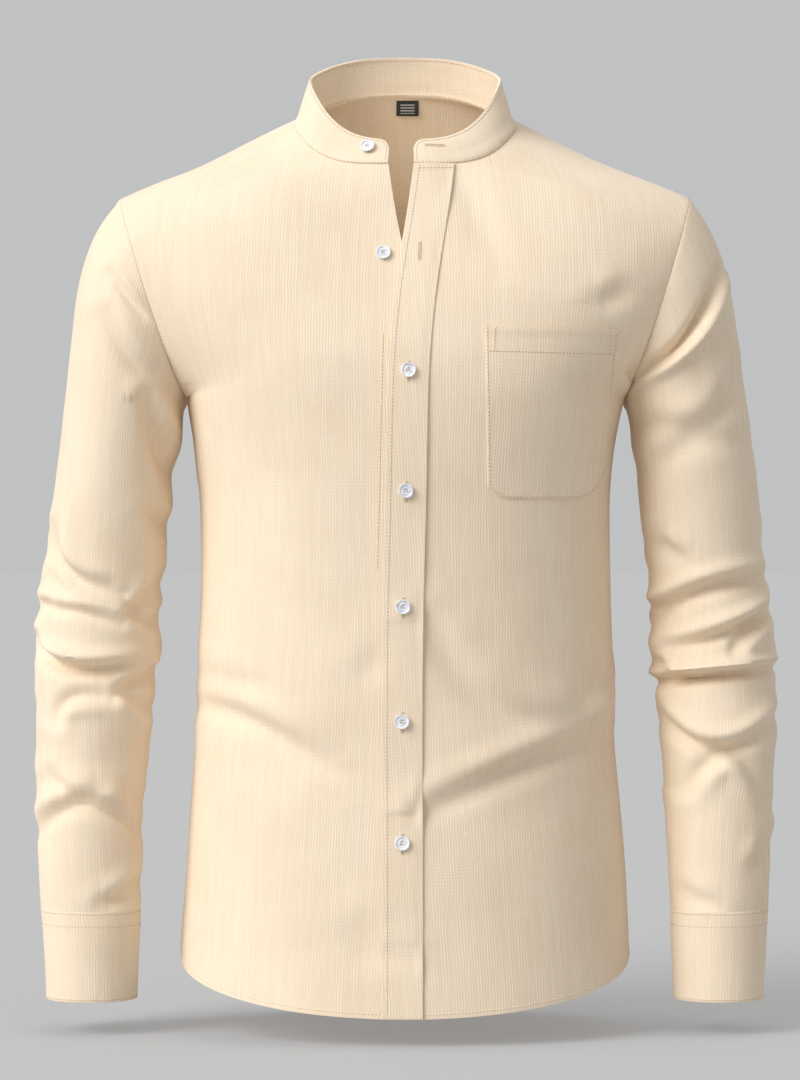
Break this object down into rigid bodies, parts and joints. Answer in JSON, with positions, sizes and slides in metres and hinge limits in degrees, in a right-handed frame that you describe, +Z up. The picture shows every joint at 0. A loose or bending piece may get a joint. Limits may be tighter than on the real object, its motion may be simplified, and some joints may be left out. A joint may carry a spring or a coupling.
{
  "type": "mandarin collar shirt",
  "caption": "Long-sleeved button-front shirt with a stand collar and chest pocket, filled out as worn, hollow and open at neck, hem and cuffs.",
  "frame": {"origin": "middle of the neck, level with the points where the shoulder seams meet the collar, where the wearer holds the shirt up", "axes": "+Z up; the wearer faces -Y, so +X is the wearer's left"},
  "size_m": [0.583, 0.2427, 0.747],
  "materials": {
    "cloth": "matt cream linen-look crepe with fine uneven ribs",
    "button": "white pearl resin",
    "label": "black woven tape"
  },
  "bodies": {
    "root": {"front_left": "cloth", "front_right": "cloth", "placket": "cloth", "back": "cloth", "yoke": "cloth", "sleeve_left": "cloth", "sleeve_right": "cloth", "cuff_left": "cloth", "cuff_right": "cloth", "collar": "cloth", "pocket": "cloth", "button_neck": "button", "button_1": "button", "button_2": "button", "button_3": "button", "button_4": "button", "button_5": "button", "button_6": "button", "button_cuff_left": "button", "button_cuff_right": "button", "neck_label": "label"}
  },
  "joints": []
}
